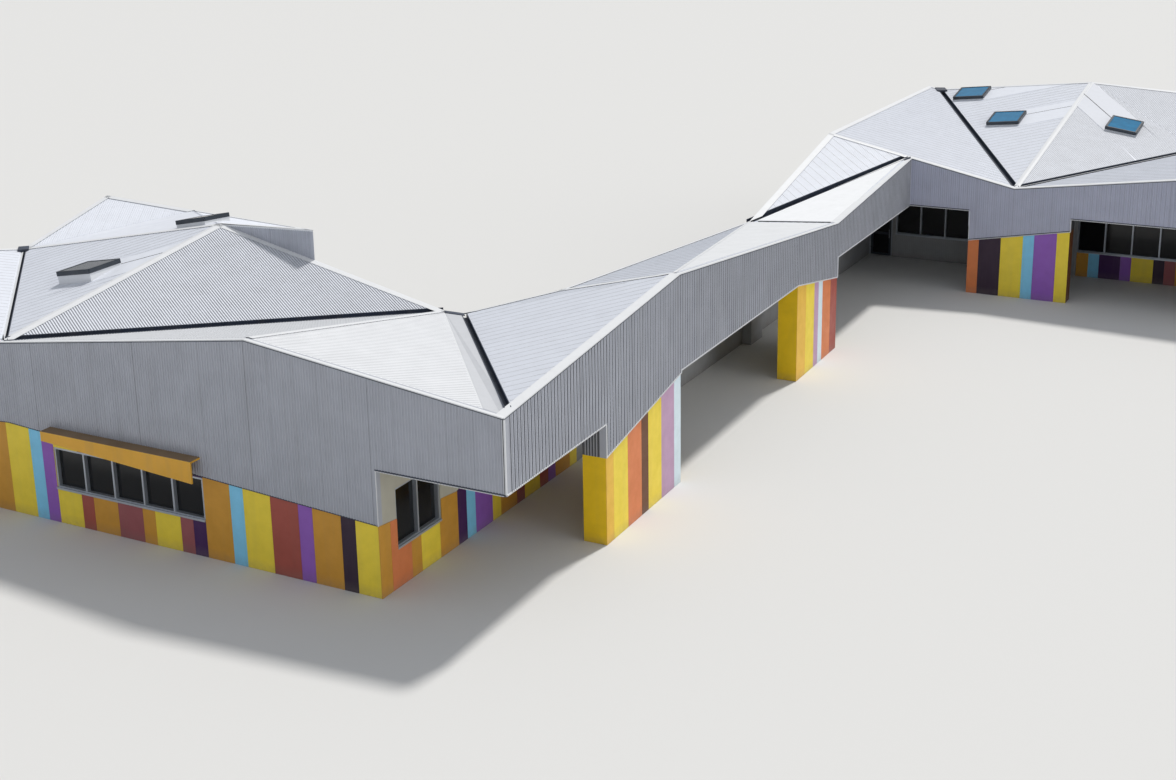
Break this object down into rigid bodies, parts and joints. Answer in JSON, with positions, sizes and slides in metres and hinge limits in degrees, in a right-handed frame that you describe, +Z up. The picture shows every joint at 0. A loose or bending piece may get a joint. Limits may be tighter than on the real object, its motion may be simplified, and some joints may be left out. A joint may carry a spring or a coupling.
{
  "type": "school building, half-size scale model",
  "caption": "Single-storey school building with folded metal roofs, coloured panel walls and a covered walkway; its entrance door swings.",
  "frame": {"origin": "ground level where the centre lines of the front wall and the side wall of the left pavilion cross", "axes": "+Z up, +X to the right along the left pavilion's front, +Y back along the walkway"},
  "size_m": [20.65, 24.8, 3.455],
  "materials": {
    "roof_metal": "pale grey ribbed sheet, satin",
    "wall_metal": "blue-grey ribbed sheet, satin",
    "panel_board": "flat coloured panels, satin",
    "plain_wall": "grey ribbed sheet, satin",
    "floor_slab": "trowelled concrete",
    "ceiling_board": "painted board, matt",
    "awning_metal": "orange-yellow sheet, satin",
    "window_metal": "satin frames",
    "skylight_metal": "dark frames, satin",
    "gutter_metal": "dark gutter sheet, satin",
    "flashing_metal": "white folded flashing, satin",
    "window_glass": "tinted glass",
    "skylight_glass": "blue-tinted glass"
  },
  "bodies": {
    "building": {"awnings": "awning_metal", "box_column": "plain_wall", "box_gutters": "gutter_metal", "door_frame": "window_metal", "end_pier": "panel_board", "facade_cladding": "wall_metal", "facade_pier": "panel_board", "front_cladding": "wall_metal", "front_wall": "panel_board", "left_back_wall": "plain_wall", "left_end_wall": "plain_wall", "left_floor": "floor_slab", "left_window_frames": "window_metal", "over_door_wall": "plain_wall", "party_wall": "plain_wall", "pier_infills": "wall_metal", "rear_walls": "plain_wall", "right_back_wall": "plain_wall", "right_end_wall": "plain_wall", "right_floor": "floor_slab", "right_side_wall": "plain_wall", "right_window_frames": "window_metal", "roof_front_corner": "roof_metal", "roof_front_strip": "roof_metal", "roof_left_end": "roof_metal", "roof_pyramid_front": "roof_metal", "roof_pyramid_west": "roof_metal", "roof_rear": "roof_metal", "roof_right_corner": "roof_metal", "roof_right_front": "roof_metal", "roof_right_hip": "roof_metal", "roof_right_valley": "roof_metal", "roof_right_west": "roof_metal", "roof_upstand": "wall_metal", "roof_walk_front": "roof_metal", "roof_walk_middle": "roof_metal", "roof_walk_rear": "roof_metal", "room_wall": "plain_wall", "side_wall": "panel_board", "skylight_frames": "skylight_metal", "skylight_glass": "skylight_glass", "verandah_soffit": "ceiling_board", "walk_fascia": "wall_metal", "walk_piers": "panel_board", "walk_soffit": "ceiling_board", "window_glass": "window_glass"},
    "door": {"door_leaf": "window_metal", "door_glass": "window_glass"}
  },
  "joints": [
    {"name": "door_swing", "type": "hinge", "parent": "building", "child": "door", "pos_m": [0.093, 19.3995, 0], "axis": [0, 0, -1], "range_deg": [0, 90]}
  ]
}
